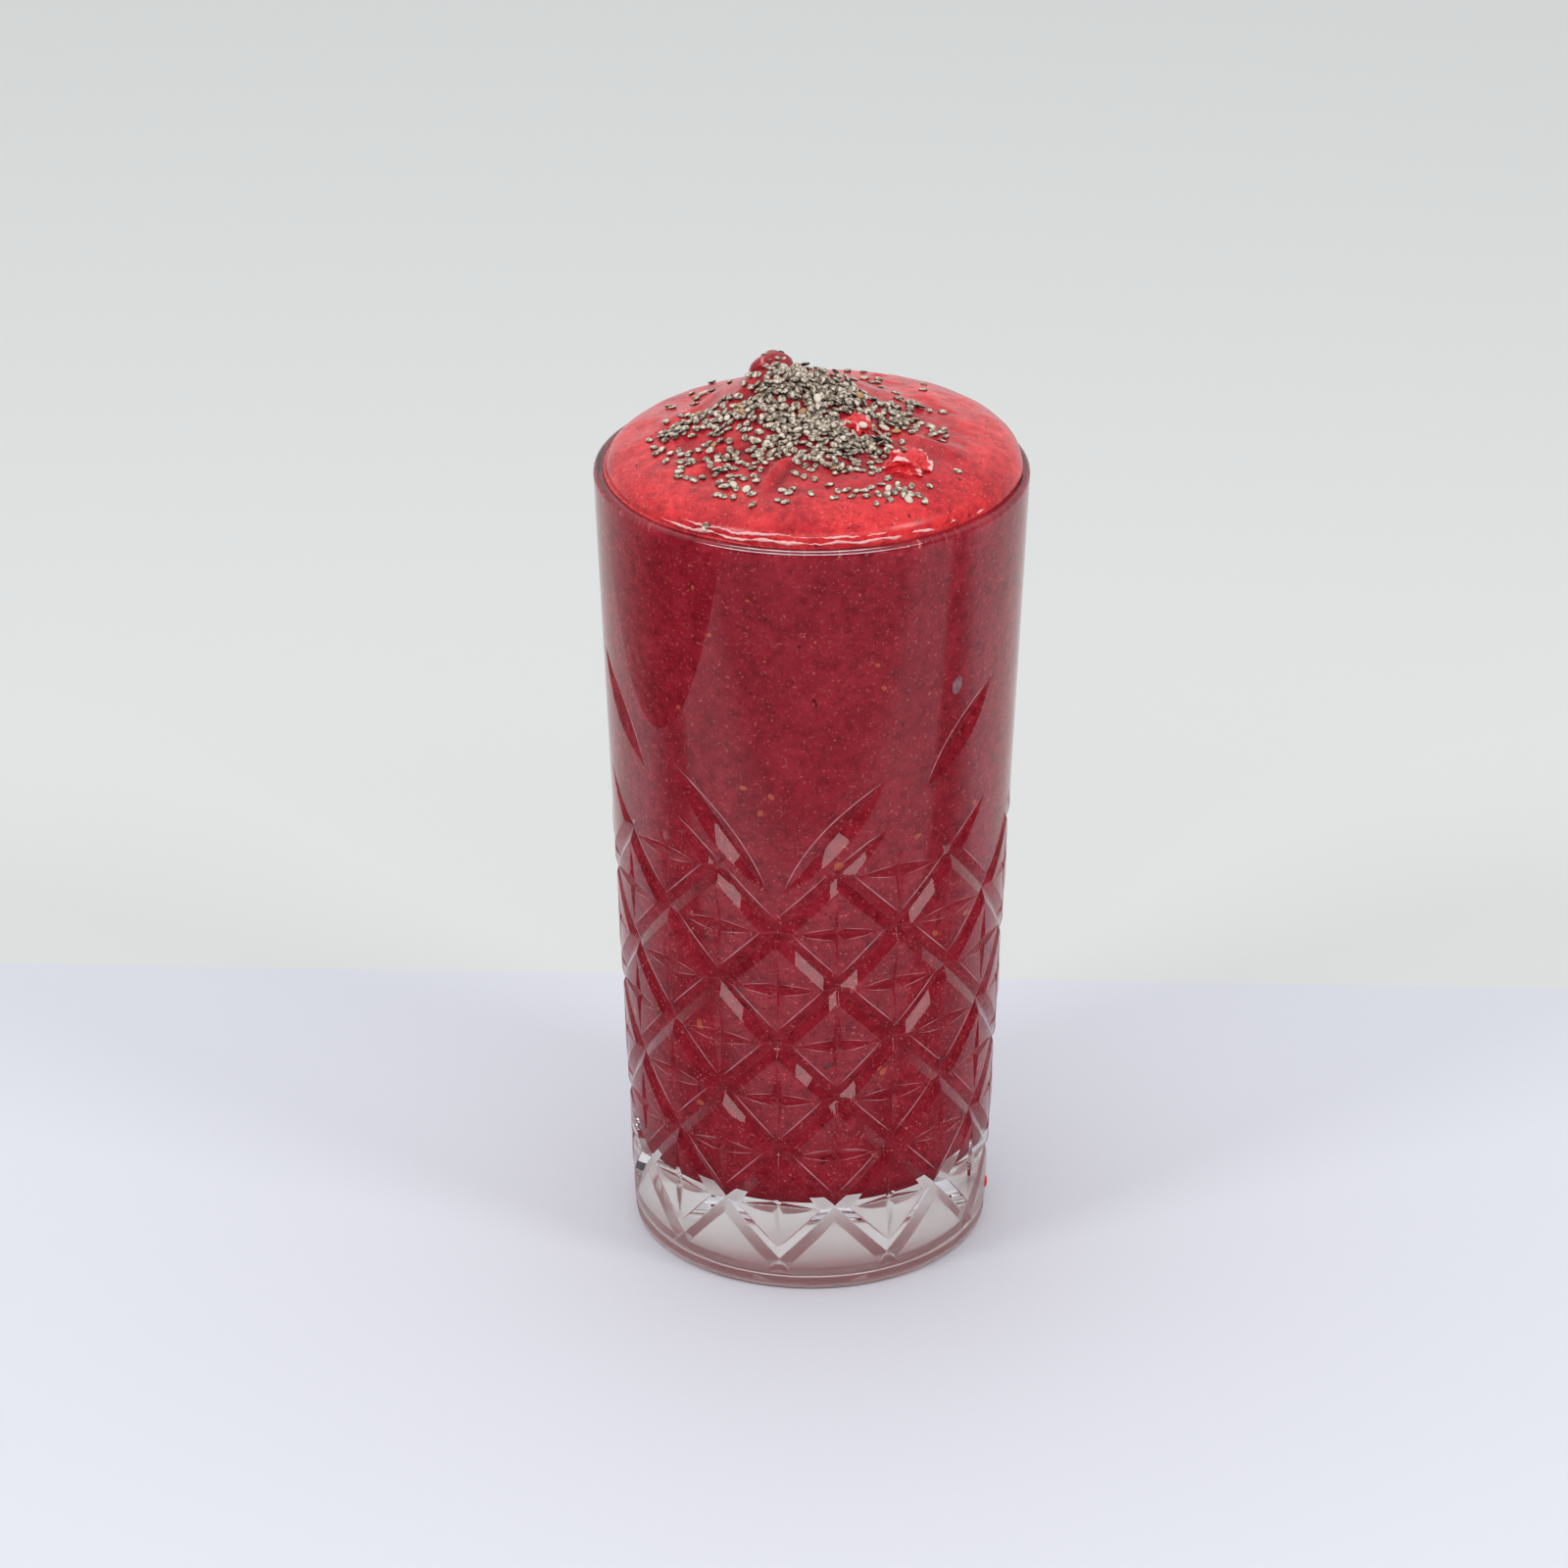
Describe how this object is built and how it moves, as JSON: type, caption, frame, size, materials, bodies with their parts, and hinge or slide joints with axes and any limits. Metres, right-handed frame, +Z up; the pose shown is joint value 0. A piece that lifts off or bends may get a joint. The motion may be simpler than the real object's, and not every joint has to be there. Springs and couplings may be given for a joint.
{
  "type": "frozen berry drink",
  "caption": "Thick frozen berry drink heaped over the rim of a tall glass cut with diamonds and stars, with fruit and small seeds on its peak.",
  "frame": {"origin": "on the table, under the glass's axis", "axes": "+Z up along the glass's axis, -Y towards the front"},
  "size_m": [0.077, 0.0769, 0.1681],
  "materials": {
    "glass": "clear pressed glass, polished",
    "drink": "thick wet fruit drink, crimson with fine specks",
    "fruit": "wet glossy torn fruit",
    "seed": "small dry grey-brown mottled seeds",
    "seed_pale": "small dry cream seeds"
  },
  "bodies": {
    "root": {"glass": "glass", "drink": "drink", "fruit_peak": "fruit", "fruit_fold": "fruit", "fruit_side": "fruit"}
  },
  "joints": []
}
